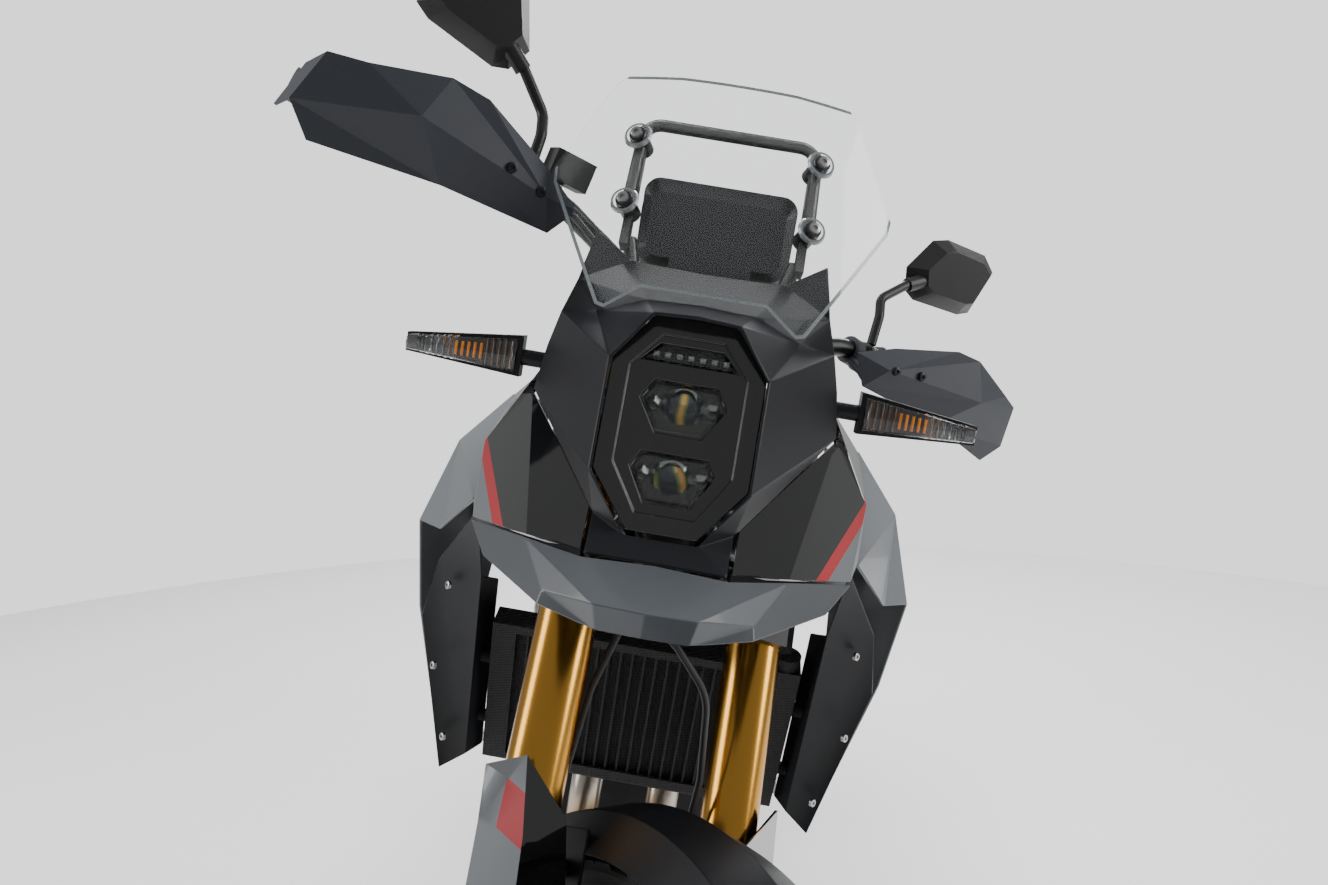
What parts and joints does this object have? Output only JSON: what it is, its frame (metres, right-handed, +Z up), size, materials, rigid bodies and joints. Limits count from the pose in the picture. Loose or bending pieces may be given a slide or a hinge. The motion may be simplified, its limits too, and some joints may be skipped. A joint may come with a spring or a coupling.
{
  "type": "adventure motorcycle",
  "caption": "Adventure motorcycle on its side stand, steering turned left; engine, wheels, fork, seats and rack as named pieces with working joints.",
  "frame": {"origin": "on the floor under the middle of the parked machine's bounding box", "axes": "-Y is where the machine faces, +X is the rider's left, +Z is up"},
  "size_m": [0.8034, 2.2939, 1.4575],
  "materials": {
    "frame_paint": "satin black",
    "swingarm_alloy": "cast satin",
    "axle_steel": "zinc plated",
    "shock_black": "satin black",
    "engine_alloy": "dark painted casting",
    "engine_cover": "dark painted casting",
    "sprocket_steel": "hard anodised",
    "chain_steel": "oiled steel",
    "skid_alloy": "brushed",
    "radiator_black": "matt black",
    "header_steel": "heat-tinted",
    "silencer_steel": "brushed",
    "tank_grey": "matt grey paint",
    "cap_black": "satin black",
    "seat_cover": "grained black",
    "gloss_panel": "gloss black",
    "grey_panel": "matt grey",
    "black_plastic": "matt black",
    "lamp_housing": "gloss black",
    "lamp_lens": "clear projector lens",
    "screen_clear": "clear",
    "tail_lens": "red lens",
    "rack_black": "satin black",
    "gold_anodised": "gold anodised",
    "fork_chrome": "hard chrome with cast lugs",
    "clamp_alloy": "black anodised",
    "bar_alloy": "black anodised",
    "grip_rubber": "moulded",
    "control_black": "satin black",
    "guard_plastic": "textured dark grey",
    "mirror_black": "satin black",
    "caliper_alloy": "dark anodised",
    "tyre_rubber": "road",
    "rim_black": "black rim, silver spokes",
    "disc_steel": "ground",
    "stand_paint": "satin black",
    "peg_alloy": "cast",
    "hose_rubber": "smooth"
  },
  "bodies": {
    "chassis": {"frame": "frame_paint", "subframe": "frame_paint", "swingarm": "swingarm_alloy", "chassis_axles": "axle_steel", "rear_shock": "shock_black", "crankcase": "engine_alloy", "cylinders": "engine_alloy", "engine_covers": "engine_cover", "front_sprocket": "sprocket_steel", "skid_plate": "skid_alloy", "radiator": "radiator_black", "header_pipes": "header_steel", "silencer": "silencer_steel", "fuel_tank": "tank_grey", "rider_seat": "seat_cover", "pillion_seat": "seat_cover", "tank_shrouds": "grey_panel", "side_fairings": "gloss_panel", "radiator_covers": "black_plastic", "nose_cowl": "black_plastic", "headlamp": "lamp_housing", "lamp_lenses": "lamp_lens", "beak": "grey_panel", "windscreen": "screen_clear", "cowl_stay": "frame_paint", "instrument": "black_plastic", "indicator_bodies": "black_plastic", "tail_panels": "gloss_panel", "tail_unit": "black_plastic", "tail_lamp": "tail_lens", "luggage_rack": "rack_black", "footpegs": "peg_alloy", "foot_controls": "axle_steel", "drive_chain": "chain_steel", "rear_hugger": "black_plastic", "rear_caliper": "caliper_alloy", "coolant_hoses": "hose_rubber"},
    "steering": {"fork_tubes": "gold_anodised", "fork_legs": "fork_chrome", "front_axle": "axle_steel", "triple_clamps": "clamp_alloy", "handlebar": "bar_alloy", "grips": "grip_rubber", "bar_controls": "control_black", "handguards": "guard_plastic", "mirrors": "mirror_black", "front_mudguard": "black_plastic", "fork_guards": "black_plastic", "front_calipers": "caliper_alloy", "brake_lines": "hose_rubber"},
    "front_wheel": {"front_tyre": "tyre_rubber", "front_rim": "rim_black", "front_discs": "disc_steel"},
    "rear_wheel": {"rear_tyre": "tyre_rubber", "rear_rim": "rim_black", "rear_disc": "disc_steel", "rear_sprocket": "sprocket_steel"},
    "side_stand": {"side_stand": "stand_paint"},
    "fuel_cap": {"fuel_cap": "cap_black"}
  },
  "joints": [
    {"name": "steering", "type": "hinge", "parent": "chassis", "child": "steering", "pos_m": [-0.01371, -0.426, 0.9844], "axis": [0.1599, 0.464, 0.8713], "range_deg": [-64, 0]},
    {"name": "front_wheel_spin", "type": "hinge", "parent": "steering", "child": "front_wheel", "pos_m": [-0.10137, -0.83471, 0.32332], "axis": [0.7897, 0.4694, -0.3949], "continuous": true},
    {"name": "rear_wheel_spin", "type": "hinge", "parent": "chassis", "child": "rear_wheel", "pos_m": [-0.13618, 0.72701, 0.31707], "axis": [0.9836, 0, -0.1805], "continuous": true},
    {"name": "side_stand_fold", "type": "hinge", "parent": "chassis", "child": "side_stand", "pos_m": [0.01473, 0.06001, 0.28622], "axis": [0.9829, -0.0022, 0.1839], "range_deg": [0, 92]},
    {"name": "fuel_cap_lid", "type": "hinge", "parent": "chassis", "child": "fuel_cap", "pos_m": [-0.00424, -0.26051, 1.036], "axis": [0.9836, 0, -0.1805], "range_deg": [0, 95]}
  ]
}
